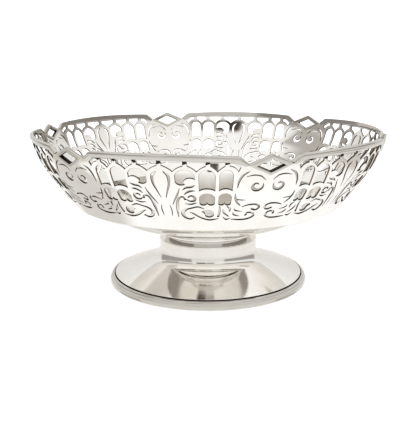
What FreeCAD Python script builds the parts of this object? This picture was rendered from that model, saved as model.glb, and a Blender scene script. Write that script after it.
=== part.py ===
import FreeCAD, Part
import math
import os

# A pierced silver bowl on a spreading foot. Millimetres, +Z up, the axis of the bowl on Z,
# the foot standing on z = 0. Every round piece is turned about Z. The pierced wall repeats
# six times, and is drawn in two running measures: an angle "across" from the middle of a
# panel, in degrees, and a length "down" the wall from the rim, in millimetres.

# ---- driving dimensions ----
RIM_RADIUS = 126.4
RIM_HEIGHT = 113.0
KNUCKLE_RADIUS = 98.0
KNUCKLE_HEIGHT = 61.8
STRAIGHT_RADIUS = 114.9
STRAIGHT_HEIGHT = 85.1
SHEET = 1.2
PANELS = 6
PANEL_ANGLE = 360.0 / PANELS
FIRST_PANEL = 17.0
PIERCED_DEPTH = 50.0

WIRE_DEPTH = 3.8
WIRE_OUT = 0.7
WIRE_IN = 2.3
WIRE_SPAN = 20.7
STUDS = (0.0, 6.9, 13.0, 18.1)
STUD_HALF = 0.55
COLUMNS = (3.45, 9.95, 15.55, 20.4)
COLUMN_HALF = 0.5

LOZENGE_HALF = 6.5
LOZENGE_TOP = 0.1
LOZENGE_MIDDLE = 6.3
LOZENGE_BOTTOM = 13.2
LOZENGE_EYE_HALF = 3.9
LOZENGE_EYE_TOP = 3.0
LOZENGE_EYE_MIDDLE = 6.9
LOZENGE_EYE_BOTTOM = 11.0
LOZENGE_OUT = 0.9
LOZENGE_IN = 2.1

DISH_BOTTOM_RADIUS = 37.0
DISH_BOTTOM = 39.6
DISH_SAG_RADIUS = 66.0
DISH_SAG = 48.4

COLLAR_RING_RADIUS = 37.2
COLLAR_RING_DEPTH = 2.8
COLLAR_WAIST_RADIUS = 31.8
COLLAR_BORE_RADIUS = 29.6
COLLAR_BOTTOM = 33.0

FOOT_TOP_RADIUS = 36.2
FOOT_GROOVE_RADIUS = 70.0
FOOT_GROOVE = 6.5
FOOT_EDGE_RADIUS = 73.4
FOOT_BORE_RADIUS = 68.6
FOOT_SLOPE = math.radians(20.0)
FLARE_REACH = 10.0
LIP_ROUND = 0.9
SHOULDER = 5.8

CUTTER_IN = 7.0
CUTTER_OUT = 5.0


def vector(r, z):
    """A point of a turned profile, in the XZ plane."""
    return FreeCAD.Vector(r, 0, z)


def line(a, b):
    return Part.LineSegment(a, b).toShape()


def arc(a, b, c):
    return Part.Arc(a, b, c).toShape()


def turned(edges, start=0.0, sweep=360.0):
    """A solid made by turning a closed profile about Z."""
    face = Part.Face(Part.Wire(edges))
    face.rotate(vector(0, 0), FreeCAD.Vector(0, 0, 1), start)
    return face.revolve(vector(0, 0), FreeCAD.Vector(0, 0, 1), sweep)


# ---- the wall's profile: an arc from the rim, then a straight run to the knuckle ----
run_r = STRAIGHT_RADIUS - KNUCKLE_RADIUS
run_z = STRAIGHT_HEIGHT - KNUCKLE_HEIGHT
RUN_LEAN = math.atan2(run_r, run_z)
chord_r = RIM_RADIUS - STRAIGHT_RADIUS
chord_z = RIM_HEIGHT - STRAIGHT_HEIGHT
CHORD_LEAN = math.atan2(chord_r, chord_z)
ARC_TURN = 2 * (RUN_LEAN - CHORD_LEAN)
ARC_RADIUS = math.hypot(chord_r, chord_z) / (2 * math.sin(ARC_TURN / 2))
ARC_LENGTH = ARC_RADIUS * ARC_TURN
RIM_LEAN = RUN_LEAN - ARC_TURN


def wall(down, out=0.0):
    """Radius and height of the wall, a distance down from the rim and out from its face."""
    if down > ARC_LENGTH:
        lean = RUN_LEAN
        past = down - ARC_LENGTH
        r = STRAIGHT_RADIUS - past * math.sin(RUN_LEAN)
        z = STRAIGHT_HEIGHT - past * math.cos(RUN_LEAN)
    else:
        lean = RIM_LEAN + max(down, 0.0) / ARC_RADIUS
        r = RIM_RADIUS + ARC_RADIUS * (math.cos(lean) - math.cos(RIM_LEAN))
        z = RIM_HEIGHT - ARC_RADIUS * (math.sin(lean) - math.sin(RIM_LEAN))
        r -= min(down, 0.0) * math.sin(RIM_LEAN)
        z -= min(down, 0.0) * math.cos(RIM_LEAN)
    return r + out * math.cos(lean), z - out * math.sin(lean), lean


def wall_shell(top, bottom, inner, outer, start, sweep):
    """A slice of the wall between two depths and two distances from its face."""
    def at(down, out):
        r, z, _ = wall(down, out)
        return vector(r, z)

    if bottom > ARC_LENGTH:
        bend = (top + ARC_LENGTH) / 2
        edges = [
            arc(at(top, outer), at(bend, outer), at(ARC_LENGTH, outer)),
            line(at(ARC_LENGTH, outer), at(bottom, outer)),
            line(at(bottom, outer), at(bottom, -inner)),
            line(at(bottom, -inner), at(ARC_LENGTH, -inner)),
            arc(at(ARC_LENGTH, -inner), at(bend, -inner), at(top, -inner)),
            line(at(top, -inner), at(top, outer)),
        ]
    else:
        bend = (top + bottom) / 2
        edges = [
            arc(at(top, outer), at(bend, outer), at(bottom, outer)),
            line(at(bottom, outer), at(bottom, -inner)),
            arc(at(bottom, -inner), at(bend, -inner), at(top, -inner)),
            line(at(top, -inner), at(top, outer)),
        ]
    return turned(edges, start, sweep)


def on_wall(across, down):
    """The point of the wall's face and its outward normal, in the frame of one panel."""
    r, z, lean = wall(down)
    turn = math.radians(across)
    point = FreeCAD.Vector(r * math.cos(turn), r * math.sin(turn), z)
    flat = math.cos(lean)
    normal = FreeCAD.Vector(flat * math.cos(turn), flat * math.sin(turn), -math.sin(lean))
    return point, normal


def cutter(outline):
    """A prism square to the wall. A step of the outline is a point, or an arc's middle and end."""
    corners = [step[1] if isinstance(step[0], tuple) else step for step in outline]
    across = sum(corner[0] for corner in corners) / len(corners)
    down = sum(corner[1] for corner in corners) / len(corners)
    centre, normal = on_wall(across, down)

    def flat(place):
        point, _ = on_wall(*place)
        return point - normal * (point - centre).dot(normal) - normal * CUTTER_IN

    edges = []
    here = flat(outline[0])
    for step in outline[1:] + outline[:1]:
        if isinstance(step[0], tuple):
            edges.append(arc(here, flat(step[0]), flat(step[1])))
            here = flat(step[1])
        elif (flat(step) - here).Length > 1e-6:
            edges.append(line(here, flat(step)))
            here = flat(step)
    face = Part.Face(Part.Wire(edges))
    return face.extrude(normal * (CUTTER_IN + CUTTER_OUT))


def mirrored(outline):
    """The same outline on the other side of the panel's middle."""
    return [
        ((-step[0][0], step[0][1]), (-step[1][0], step[1][1]))
        if isinstance(step[0], tuple) else (-step[0], step[1])
        for step in outline
    ]


def from_edge(outline):
    """An outline measured from the panel's edge, where the cartouche stands."""
    half = PANEL_ANGLE / 2
    return [
        ((half - step[0][0], step[0][1]), (half - step[1][0], step[1][1]))
        if isinstance(step[0], tuple) else (half - step[0], step[1])
        for step in outline
    ]


# ---- openings ----
def leaf(tip, tail, one_side, other_side):
    """A slim opening with two curved sides that meet in points."""
    return [tip, (one_side, tail), (other_side, tip)]


def scroll(across, down, outer, inner, start, end):
    """A C-shaped opening: part of a ring, with angles from the outward side, upwards."""
    radius, _, _ = wall(down)
    degree = math.radians(1) * radius

    def at(reach, angle):
        turn = math.radians(angle)
        return (across + reach * math.cos(turn) / degree, down - reach * math.sin(turn))

    middle = (start + end) / 2
    return [
        at(outer, start),
        (at(outer, middle), at(outer, end)),
        at(inner, end),
        (at(inner, middle), at(inner, start)),
    ]


def rim_gap(left, right, column):
    """The gap under the rim wire between two studs and the backs of two arches."""
    near = left + STUD_HALF
    far = right - STUD_HALF
    return [
        (near, WIRE_DEPTH + 0.6),
        (far, WIRE_DEPTH + 0.6),
        (far, 6.9),
        (((far + column) / 2 + 0.3, 7.7), (column, 10.4)),
        (((near + column) / 2 - 0.3, 7.7), (near, 6.9)),
    ]


def end_gap():
    """The last gap, between the outer stud and the sloping end of the rim wire."""
    near = STUDS[3] + STUD_HALF
    return [(near, 4.4), (20.2, 4.4), (21.7, 7.3), (20.8, 10.2), ((20.0, 7.8), (near, 6.9))]


def upper_window(left, right):
    """A tall round-headed window of the arcade."""
    near = left + COLUMN_HALF
    far = right - COLUMN_HALF
    middle = (left + right) / 2
    return [
        (near, 23.6),
        (near, 12.4),
        ((middle, 8.9), (far, 12.4)),
        (far, 23.6),
        ((middle, 22.0), (near, 23.6)),
    ]


def lower_window(left, right):
    """A shorter round-headed window with two scallops for a sill."""
    near = left + COLUMN_HALF
    far = right - COLUMN_HALF
    middle = (left + right) / 2
    quarter = (right - left) / 4
    return [
        (near, 35.4),
        (near, 28.6),
        ((middle, 25.4), (far, 28.6)),
        (far, 35.4),
        ((middle + quarter, 37.2), (middle, 35.6)),
        ((middle - quarter, 37.2), (near, 35.4)),
    ]


def arcade():
    """Half of the rim gaps and windows, from the panel's middle outwards."""
    shapes = [rim_gap(STUDS[i], STUDS[i + 1], COLUMNS[i]) for i in range(3)]
    shapes.append(end_gap())
    for left, right in ((COLUMNS[1], COLUMNS[2]), (COLUMNS[2], COLUMNS[3])):
        shapes.append(upper_window(left, right))
        shapes.append(lower_window(left, right))
    hooked_window = [
        (3.95, 15.6), (3.95, 12.4), ((6.7, 8.9), (9.45, 12.4)), (9.45, 18.6),
        ((7.9, 16.2), (6.4, 17.2)), ((5.2, 17.5), (3.95, 15.6)),
    ]
    shapes.append(hooked_window)
    return shapes


def palmette():
    """Half of the leaves that fan up from the foot of the panel's middle."""
    lance = [(0.75, 11.2), ((2.1, 9.5), (2.9, 12.8)), ((2.7, 21.5), (0.9, 31.5)),
             ((1.9, 20.0), (0.75, 11.2))]
    return [
        lance,
        leaf((0.5, 34.0), (0.6, 46.5), (1.6, 40.5), (0.7, 40.5)),
        leaf((5.3, 20.0), (2.5, 33.5), (4.7, 27.5), (3.1, 26.5)),
        leaf((3.2, 35.0), (3.2, 47.0), (3.0, 41.0), (1.9, 41.0)),
        leaf((9.2, 24.6), (6.0, 22.2), (7.6, 21.8), (7.6, 24.2)),
        scroll(6.8, 30.2, 3.9, 1.9, 60, 330),
    ]


def scroll_band():
    """Half of the scrolls that run along the bottom of the piercing."""
    return [
        scroll(7.4, 43.6, 4.4, 2.3, 75, 285),
        leaf((14.9, 40.6), (8.6, 39.6), (11.7, 38.2), (11.7, 40.2)),
        leaf((16.6, 48.2), (10.6, 45.0), (13.4, 48.6), (13.4, 46.6)),
        [(11.0, 42.2), ((12.8, 41.2), (14.8, 42.4)), (13.8, 44.8)],
        leaf((19.9, 37.2), (18.4, 42.2), (19.9, 40.2), (18.6, 39.2)),
        leaf((19.8, 47.6), (16.2, 41.0), (17.6, 44.8), (18.4, 43.6)),
        leaf((17.8, 48.4), (20.1, 43.6), (19.8, 46.4), (19.0, 45.0)),
    ]


def cartouche():
    """The openings round half of the plain shield under a lozenge, measured from its stem."""
    return [
        [(1.2, 12.9), (4.8, 9.6), ((3.3, 13.6), (1.2, 16.2))],
        scroll(3.2, 20.2, 4.3, 2.0, -270, 30),
        leaf((9.0, 21.4), (5.8, 10.6), (8.6, 14.2), (7.3, 15.0)),
        leaf((8.9, 26.0), (7.6, 35.0), (9.1, 31.0), (8.2, 30.6)),
        leaf((6.6, 37.0), (2.4, 36.4), (4.4, 35.2), (4.4, 36.9)),
        scroll(2.3, 38.8, 2.9, 1.3, -60, 90),
        scroll(4.2, 45.4, 3.3, 1.6, -90, 60),
        leaf((9.2, 47.6), (4.4, 48.8), (6.8, 49.2), (6.8, 47.2)),
        leaf((8.9, 38.2), (6.2, 43.6), (8.2, 41.8), (6.9, 40.0)),
    ]


# ---- pieces ----
def top_edge_cutter():
    """All that stands above the panel beside its lozenge: the sloping wire and the lozenge."""
    half = PANEL_ANGLE / 2
    return [
        (WIRE_SPAN, WIRE_DEPTH),
        (22.7, 6.9),
        (half - LOZENGE_HALF, LOZENGE_MIDDLE),
        (half, LOZENGE_BOTTOM),
        (half + 1.0, LOZENGE_BOTTOM),
        (half + 1.0, -2.0),
        (WIRE_SPAN, -2.0),
    ]


def pierced_panel():
    """One sixth of the wall, pierced, between the plain band and the rim wire."""
    half = PANEL_ANGLE / 2
    sheet = wall_shell(WIRE_DEPTH, PIERCED_DEPTH, SHEET, 0.0, -half, PANEL_ANGLE)
    openings = arcade() + palmette() + scroll_band()
    openings += [from_edge(outline) for outline in cartouche()]
    openings.append(top_edge_cutter())
    tools = []
    for outline in openings:
        tools.append(cutter(outline))
        tools.append(cutter(mirrored(outline)))
    return sheet.cut(tools).Solids[0]


def rim_wire():
    """The moulded wire along one panel, with an end that slopes down to each lozenge."""
    def at(down, out):
        r, z, _ = wall(down, out)
        return vector(r, z)

    section = [
        line(at(0, -WIRE_IN), at(0, 0)),
        arc(at(0, 0), at(WIRE_DEPTH / 2, WIRE_OUT), at(WIRE_DEPTH, 0)),
        line(at(WIRE_DEPTH, 0), at(WIRE_DEPTH, -WIRE_IN)),
        line(at(WIRE_DEPTH, -WIRE_IN), at(0, -WIRE_IN)),
    ]
    wire = turned(section, -WIRE_SPAN, 2 * WIRE_SPAN)
    half = PANEL_ANGLE / 2
    sloping_end = [
        (WIRE_SPAN - 0.4, 0.0),
        (21.4, 0.0),
        (half - LOZENGE_HALF + 0.3, LOZENGE_MIDDLE - 0.6),
        (half - LOZENGE_HALF, LOZENGE_MIDDLE),
        (22.7, 6.9),
        (WIRE_SPAN, WIRE_DEPTH),
        (WIRE_SPAN - 0.4, WIRE_DEPTH),
    ]
    for outline in (sloping_end, mirrored(sloping_end)):
        middle = math.copysign(22.0, outline[1][0])
        block = wall_shell(0.0, 8.0, WIRE_IN, 0.35, middle - 4, 8)
        wire = wire.fuse(block.common(cutter(outline)))
    return wire.removeSplitter().Solids[0]


def lozenge_mount():
    """The open diamond that stands between two rim wires, centred on a panel's edge."""
    rim = [
        (-LOZENGE_HALF, LOZENGE_MIDDLE),
        (0, LOZENGE_TOP),
        (LOZENGE_HALF, LOZENGE_MIDDLE),
        (0, LOZENGE_BOTTOM),
    ]
    eye = [
        (-LOZENGE_EYE_HALF, LOZENGE_EYE_MIDDLE),
        (0, LOZENGE_EYE_TOP),
        (LOZENGE_EYE_HALF, LOZENGE_EYE_MIDDLE),
        (0, LOZENGE_EYE_BOTTOM),
    ]
    block = wall_shell(0.0, 15.0, LOZENGE_IN, LOZENGE_OUT, -8, 16)
    return block.common(cutter(rim)).cut(cutter(eye)).Solids[0]


def bowl_dish():
    """The plain band, the knuckle and the sloping floor, spun from one sheet."""
    top_r, top_z, _ = wall(PIERCED_DEPTH)
    in_r, in_z, _ = wall(PIERCED_DEPTH, -SHEET)
    knuckle = vector(KNUCKLE_RADIUS, KNUCKLE_HEIGHT)
    inner_knuckle = vector(KNUCKLE_RADIUS - 1.2, KNUCKLE_HEIGHT + 1.1)
    edges = [
        line(vector(0, DISH_BOTTOM), vector(DISH_BOTTOM_RADIUS, DISH_BOTTOM)),
        arc(vector(DISH_BOTTOM_RADIUS, DISH_BOTTOM), vector(DISH_SAG_RADIUS, DISH_SAG), knuckle),
        line(knuckle, vector(top_r, top_z)),
        line(vector(top_r, top_z), vector(in_r, in_z)),
        line(vector(in_r, in_z), inner_knuckle),
        arc(
            inner_knuckle,
            vector(DISH_SAG_RADIUS - 0.4, DISH_SAG + SHEET),
            vector(DISH_BOTTOM_RADIUS - 0.4, DISH_BOTTOM + SHEET),
        ),
        line(vector(DISH_BOTTOM_RADIUS - 0.4, DISH_BOTTOM + SHEET), vector(0, DISH_BOTTOM + SHEET)),
        line(vector(0, DISH_BOTTOM + SHEET), vector(0, DISH_BOTTOM)),
    ]
    return turned(edges)


def neck_collar():
    """The turned ring under the dish and the recessed neck below it."""
    ring = COLLAR_RING_RADIUS
    waist = COLLAR_WAIST_RADIUS
    top = DISH_BOTTOM
    under = top - COLLAR_RING_DEPTH
    edges = [
        line(vector(COLLAR_BORE_RADIUS, top), vector(ring - 1.4, top)),
        arc(vector(ring - 1.4, top), vector(ring, (top + under) / 2), vector(ring - 1.4, under)),
        line(vector(ring - 1.4, under), vector(waist + 1.0, under)),
        line(vector(waist + 1.0, under), vector(waist, under - 1.0)),
        line(vector(waist, under - 1.0), vector(waist, COLLAR_BOTTOM)),
        line(vector(waist, COLLAR_BOTTOM), vector(COLLAR_BORE_RADIUS, COLLAR_BOTTOM)),
        line(vector(COLLAR_BORE_RADIUS, COLLAR_BOTTOM), vector(COLLAR_BORE_RADIUS, top)),
    ]
    return turned(edges)


def flare(thickness):
    """The foot's concave side, from upright to its slope, with the groove's end last."""
    corner_r = FOOT_TOP_RADIUS - thickness
    groove = vector(FOOT_GROOVE_RADIUS - thickness, FOOT_GROOVE - thickness)
    slope = FOOT_SLOPE
    corner_z = groove.z + (groove.x - corner_r) * math.tan(slope)
    upright = vector(corner_r, corner_z + FLARE_REACH)
    sloping = vector(
        corner_r + FLARE_REACH * math.cos(slope), corner_z - FLARE_REACH * math.sin(slope)
    )
    radius = FLARE_REACH * math.tan((math.pi / 2 + slope) / 2)
    centre = vector(corner_r + radius, upright.z)
    turn = math.pi + (math.pi / 2 - slope) / 2
    middle = centre + vector(radius * math.cos(turn), radius * math.sin(turn))
    return upright, middle, sloping, groove


def foot_shell():
    """The hollow spun foot: a rounded lip at the neck, then a concave flare to the groove."""
    lip = FOOT_TOP_RADIUS
    top = COLLAR_BOTTOM
    upright, middle, sloping, groove = flare(0.0)
    in_upright, in_middle, in_sloping, in_groove = flare(SHEET)
    lip_turn = LIP_ROUND * (1 - math.sqrt(0.5))
    lip_middle = vector(lip - lip_turn, top - lip_turn)
    shelf = vector(in_upright.x, top - 1.6)
    bore_under = vector(COLLAR_BORE_RADIUS, top - 1.6)
    bore_top = vector(COLLAR_BORE_RADIUS, top)
    edges = [
        line(bore_top, vector(lip - LIP_ROUND, top)),
        arc(vector(lip - LIP_ROUND, top), lip_middle, vector(lip, top - LIP_ROUND)),
        line(vector(lip, top - LIP_ROUND), upright),
        arc(upright, middle, sloping),
        line(sloping, groove),
        line(groove, in_groove),
        line(in_groove, in_sloping),
        arc(in_sloping, in_middle, in_upright),
        line(in_upright, shelf),
        line(shelf, bore_under),
        line(bore_under, bore_top),
    ]
    return turned(edges)


def foot_rim_wire():
    """The moulding that the foot stands on: a rounded shoulder over an upright band."""
    edge = FOOT_EDGE_RADIUS
    seat = vector(FOOT_GROOVE_RADIUS - SHEET, FOOT_GROOVE - SHEET)
    groove_bottom = vector(FOOT_GROOVE_RADIUS - 0.9, FOOT_GROOVE - 0.9)
    edges = [
        line(vector(FOOT_BORE_RADIUS, 0), vector(edge - 0.3, 0)),
        line(vector(edge - 0.3, 0), vector(edge, 0.3)),
        line(vector(edge, 0.3), vector(edge, 2.9)),
        line(vector(edge, 2.9), vector(edge - 0.5, 3.3)),
        arc(vector(edge - 0.5, 3.3), vector(edge - 0.9, 4.9), vector(edge - 2.4, SHOULDER)),
        line(vector(edge - 2.4, SHOULDER), groove_bottom),
        line(groove_bottom, seat),
        line(seat, vector(FOOT_BORE_RADIUS, seat.z)),
        line(vector(FOOT_BORE_RADIUS, seat.z), vector(FOOT_BORE_RADIUS, 0)),
    ]
    return turned(edges)


def export(name, shape):
    shape.exportStep("parts/" + name + ".step")


def copies(name, shape, first):
    """Six copies of a piece round the bowl, the first at an angle from +X."""
    for number in range(PANELS):
        piece = shape.copy()
        turn = first + number * PANEL_ANGLE
        piece.rotate(vector(0, 0), FreeCAD.Vector(0, 0, 1), turn)
        export(name + "_" + str(number + 1), piece)


os.makedirs("parts", exist_ok=True)
export("bowl_dish", bowl_dish())
copies("pierced_panel", pierced_panel(), FIRST_PANEL)
copies("rim_wire", rim_wire(), FIRST_PANEL)
copies("lozenge_mount", lozenge_mount(), FIRST_PANEL + PANEL_ANGLE / 2)
export("neck_collar", neck_collar())
export("foot_shell", foot_shell())
export("foot_rim_wire", foot_rim_wire())
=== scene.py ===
import math

import bpy
import numpy as np
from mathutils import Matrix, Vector
from mathutils.geometry import delaunay_2d_cdt


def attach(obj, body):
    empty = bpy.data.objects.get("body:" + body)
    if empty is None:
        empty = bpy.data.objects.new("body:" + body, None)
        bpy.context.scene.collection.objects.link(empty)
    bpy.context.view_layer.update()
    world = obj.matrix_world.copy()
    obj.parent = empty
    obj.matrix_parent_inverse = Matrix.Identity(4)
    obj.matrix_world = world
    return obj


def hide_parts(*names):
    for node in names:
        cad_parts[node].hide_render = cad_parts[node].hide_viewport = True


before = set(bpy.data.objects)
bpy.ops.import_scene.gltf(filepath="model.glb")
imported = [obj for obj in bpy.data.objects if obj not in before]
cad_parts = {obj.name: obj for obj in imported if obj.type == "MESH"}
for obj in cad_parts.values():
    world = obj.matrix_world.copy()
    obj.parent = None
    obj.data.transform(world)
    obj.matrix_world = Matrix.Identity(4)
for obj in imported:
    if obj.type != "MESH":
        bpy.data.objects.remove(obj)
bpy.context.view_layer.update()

# A pierced silver bowl on a spreading foot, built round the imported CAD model. Shapes are
# worked out in millimetres and turned into metres when a mesh is made. The pierced wall is
# drawn flat, in two running measures: "across", an angle in degrees from the middle of a
# panel, and "down", a length in millimetres along the wall from the rim. A third measure,
# "out", stands square to the wall's outer face.

MM = 0.001

# ---- driving dimensions ----
RIM_RADIUS = 126.4
RIM_HEIGHT = 113.0
KNUCKLE_RADIUS = 98.0
KNUCKLE_HEIGHT = 61.8
STRAIGHT_RADIUS = 114.9
STRAIGHT_HEIGHT = 85.1
SHEET = 1.2
PANELS = 6
PANEL_ANGLE = 360.0 / PANELS
HALF_PANEL = PANEL_ANGLE / 2
FIRST_PANEL = 17.0
PIERCED_DEPTH = 50.0
EDGE_ROUND = 0.22

WIRE_DEPTH = 3.8
WIRE_SPAN = 20.7
RIM_DROP = 1.1
STUDS = (0.0, 6.9, 13.0, 18.1)
STUD_HALF = 0.55
# How far down the wall the black painted shadow at the stud heads reaches.
STUD_SHADOW_END = 5.5
COLUMNS = (3.45, 9.95, 15.55, 20.4)
COLUMN_HALF = 0.5

# Heights in the arcade, as distances down the wall.
ARCH_SHOULDER = 6.8
ARCH_FORK = 7.7
ARCH_FOOT = 10.5
UPPER_CROWN = 8.8
UPPER_SPRING = 12.6
UPPER_SILL_CROWN = 22.2
UPPER_SILL = 23.8
LOWER_CROWN = 25.2
LOWER_SPRING = 28.4
LOWER_SILL = 33.8
LOWER_SILL_MIDDLE = 34.0
SCALLOP_BOTTOM = 35.8

LOZENGE_HALF = 6.5
LOZENGE_TOP = 0.1
LOZENGE_MIDDLE = 6.3
LOZENGE_BOTTOM = 13.2
LOZENGE_EYE_HALF = 3.9
LOZENGE_EYE_TOP = 3.0
LOZENGE_EYE_MIDDLE = 6.9
LOZENGE_EYE_BOTTOM = 11.0

DISH_BOTTOM_RADIUS = 37.0
DISH_BOTTOM = 39.6
DISH_SAG_RADIUS = 66.0
DISH_SAG = 48.4

COLLAR_RING_RADIUS = 37.2
COLLAR_RING_DEPTH = 2.8
COLLAR_WAIST_RADIUS = 31.8
COLLAR_BORE_RADIUS = 29.6
COLLAR_BOTTOM = 33.0

FOOT_TOP_RADIUS = 36.2
FOOT_GROOVE_RADIUS = 70.0
FOOT_GROOVE = 6.5
FOOT_EDGE_RADIUS = 73.4
FOOT_BORE_RADIUS = 68.6
FOOT_SLOPE = math.radians(20.0)
FLARE_REACH = 10.0
SHOULDER = 5.75
MOULDING_STEP = 3.1

# ---- fineness of the meshes, in millimetres, counts and degrees ----
FLAT_RADIUS = 117.0
MESH_SPACING = 2.1
ROW_SPACING = 0.87 * MESH_SPACING
FRAME_STEP = 1.6
HOLE_STEP = 0.9
FRAME_CLEARANCE = 0.9
HOLE_CLEARANCE = 0.7
STROKE_STEPS = 6
VOLUTE_STEPS = 28
TURN_STEPS = 288
TURN_SHARP = 30
BAND_SHARP = 40

# ---- the wall's profile: an arc from the rim, then a straight run to the knuckle ----
RUN_LEAN = math.atan2(STRAIGHT_RADIUS - KNUCKLE_RADIUS, STRAIGHT_HEIGHT - KNUCKLE_HEIGHT)
CHORD_LEAN = math.atan2(RIM_RADIUS - STRAIGHT_RADIUS, RIM_HEIGHT - STRAIGHT_HEIGHT)
CHORD = math.hypot(RIM_RADIUS - STRAIGHT_RADIUS, RIM_HEIGHT - STRAIGHT_HEIGHT)
ARC_TURN = 2 * (RUN_LEAN - CHORD_LEAN)
ARC_RADIUS = CHORD / (2 * math.sin(ARC_TURN / 2))
ARC_LENGTH = ARC_RADIUS * ARC_TURN
RIM_LEAN = RUN_LEAN - ARC_TURN


def wall(down, out=0.0):
    """Radius, height and lean of the wall, for arrays of distances down it and out from it."""
    down = np.asarray(down, float)
    arc = np.clip(down, None, ARC_LENGTH)
    past = down - arc
    lean = RIM_LEAN + np.clip(arc, 0, None) / ARC_RADIUS
    r = RIM_RADIUS + ARC_RADIUS * (np.cos(lean) - math.cos(RIM_LEAN)) - past * math.sin(RUN_LEAN)
    z = RIM_HEIGHT - ARC_RADIUS * (np.sin(lean) - math.sin(RIM_LEAN)) - past * math.cos(RUN_LEAN)
    above = np.clip(down, None, 0)
    r = r - above * math.sin(RIM_LEAN)
    z = z - above * math.cos(RIM_LEAN)
    return r + out * np.cos(lean), z - out * np.sin(lean), lean


def on_wall(across, down, out, turn):
    """Points of the wall in millimetres, and its normals, for a panel turned about Z."""
    r, z, lean = wall(down, out)
    angle = np.radians(np.asarray(across, float) + turn)
    points = np.stack([r * np.cos(angle), r * np.sin(angle), z], 1)
    normals = np.stack(
        [np.cos(lean) * np.cos(angle), np.cos(lean) * np.sin(angle), -np.sin(lean)], 1
    )
    return points, normals


def degree_at(down):
    """The length of one degree across, in millimetres, at a depth down the wall."""
    return math.radians(1) * wall(down)[0]


# ---- outlines on the flat pattern ----
def arc_points(a, b, c, count=10):
    """Points on the circle through three points, from a to c, without a."""
    a, b, c = (np.array(p, float) for p in (a, b, c))
    d = 2 * (a[0] * (b[1] - c[1]) + b[0] * (c[1] - a[1]) + c[0] * (a[1] - b[1]))
    if abs(d) < 1e-9:
        return [tuple(a + (c - a) * (i + 1) / count) for i in range(count)]
    squares = [p.dot(p) for p in (a, b, c)]
    x = (squares[0] * (b[1] - c[1]) + squares[1] * (c[1] - a[1]) + squares[2] * (a[1] - b[1])) / d
    y = (squares[0] * (c[0] - b[0]) + squares[1] * (a[0] - c[0]) + squares[2] * (b[0] - a[0])) / d
    start, middle, end = (math.atan2(p[1] - y, p[0] - x) for p in (a, b, c))
    turn = (end - start) % (2 * math.pi)
    if (middle - start) % (2 * math.pi) > turn:
        turn -= 2 * math.pi
    radius = math.hypot(a[0] - x, a[1] - y)
    angles = [start + turn * (i + 1) / count for i in range(count)]
    return [(x + radius * math.cos(t), y + radius * math.sin(t)) for t in angles]


def flatten(across, down, origin):
    """Pattern places as flat millimetres about an origin, with y up."""
    down = np.asarray(down, float)
    x = (np.asarray(across, float) - origin[0]) * degree_at(down)
    return np.stack([x, origin[1] - down], 1)


def unflatten(points, origin):
    """Flat millimetres back to pattern places."""
    down = origin[1] - points[:, 1]
    return np.stack([origin[0] + points[:, 0] / degree_at(down), down], 1)


def outline(steps):
    """A closed outline. A step is a place, or an arc's middle and end."""
    corners = [step[1] if isinstance(step[0], tuple) else step for step in steps]
    origin = tuple(np.mean(np.array(corners, float), 0))

    def flat(place):
        return tuple(flatten([place[0]], [place[1]], origin)[0])

    here = flat(steps[0])
    points = [here]
    for step in steps[1:]:
        if isinstance(step[0], tuple):
            points += arc_points(here, flat(step[0]), flat(step[1]))
        else:
            points.append(flat(step))
        here = points[-1]
    return unflatten(np.array(points), origin)


def smooth_line(points, count):
    """A centripetal Catmull-Rom spline through points, with the same count of samples in each span."""
    p = np.array(points, float)
    p = np.vstack([2 * p[0] - p[1], p, 2 * p[-1] - p[-2]])
    samples = []
    for i in range(1, len(p) - 2):
        knots = [0.0]
        for a, b in ((i - 1, i), (i, i + 1), (i + 1, i + 2)):
            knots.append(knots[-1] + max(np.linalg.norm(p[b, :2] - p[a, :2]), 1e-6) ** 0.5)
        t = np.linspace(knots[1], knots[2], count, endpoint=False)[:, None]
        a1 = ((knots[1] - t) * p[i - 1] + (t - knots[0]) * p[i]) / (knots[1] - knots[0])
        a2 = ((knots[2] - t) * p[i] + (t - knots[1]) * p[i + 1]) / (knots[2] - knots[1])
        a3 = ((knots[3] - t) * p[i + 1] + (t - knots[2]) * p[i + 2]) / (knots[3] - knots[2])
        b1 = ((knots[2] - t) * a1 + (t - knots[0]) * a2) / (knots[2] - knots[0])
        b2 = ((knots[3] - t) * a2 + (t - knots[1]) * a3) / (knots[3] - knots[1])
        samples.append(((knots[2] - t) * b1 + (t - knots[1]) * b2) / (knots[2] - knots[1]))
    samples.append(p[-2:-1])
    return np.vstack(samples)


def ribbon(line, origin):
    """A closed outline round a centre line of flat points, each with its width."""
    xy, width = line[:, :2], line[:, 2]
    along = np.gradient(xy, axis=0)
    along /= np.maximum(np.linalg.norm(along, axis=1), 1e-9)[:, None]
    side = np.stack([-along[:, 1], along[:, 0]], 1)
    left = xy + side * width[:, None] / 2
    right = xy - side * width[:, None] / 2
    caps = []
    for end, sign in ((-1, 1), (0, -1)):
        angles = np.linspace(0, math.pi, 7)[1:-1]
        reach = width[end] / 2
        caps.append(
            xy[end]
            + sign * side[end] * np.cos(angles)[:, None] * reach
            + sign * along[end] * np.sin(angles)[:, None] * reach
        )
    return unflatten(np.vstack([left, caps[0], right[::-1], caps[1]]), origin)


def stroke(*stations):
    """A slit along a smooth line. A station is across, down and the slit's width there."""
    s = np.array(stations, float)
    origin = tuple(s[:, :2].mean(0))
    flat = flatten(s[:, 0], s[:, 1], origin)
    return ribbon(smooth_line(np.column_stack([flat, s[:, 2]]), STROKE_STEPS), origin)


def volute(across, down, start, end, reach, width):
    """A spiral slit round a centre. Angles run from the right, anticlockwise; reach is the
    radius of its centre line and width the slit's width, each from first to last."""
    share = np.linspace(0, 1, VOLUTE_STEPS)
    angle = np.radians(start + (end - start) * share)
    radius = np.interp(share, np.linspace(0, 1, len(reach)), reach)
    broad = np.interp(share, np.linspace(0, 1, len(width)), width)
    line = np.column_stack([radius * np.cos(angle), radius * np.sin(angle), broad])
    return ribbon(line, (across, down))


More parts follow.
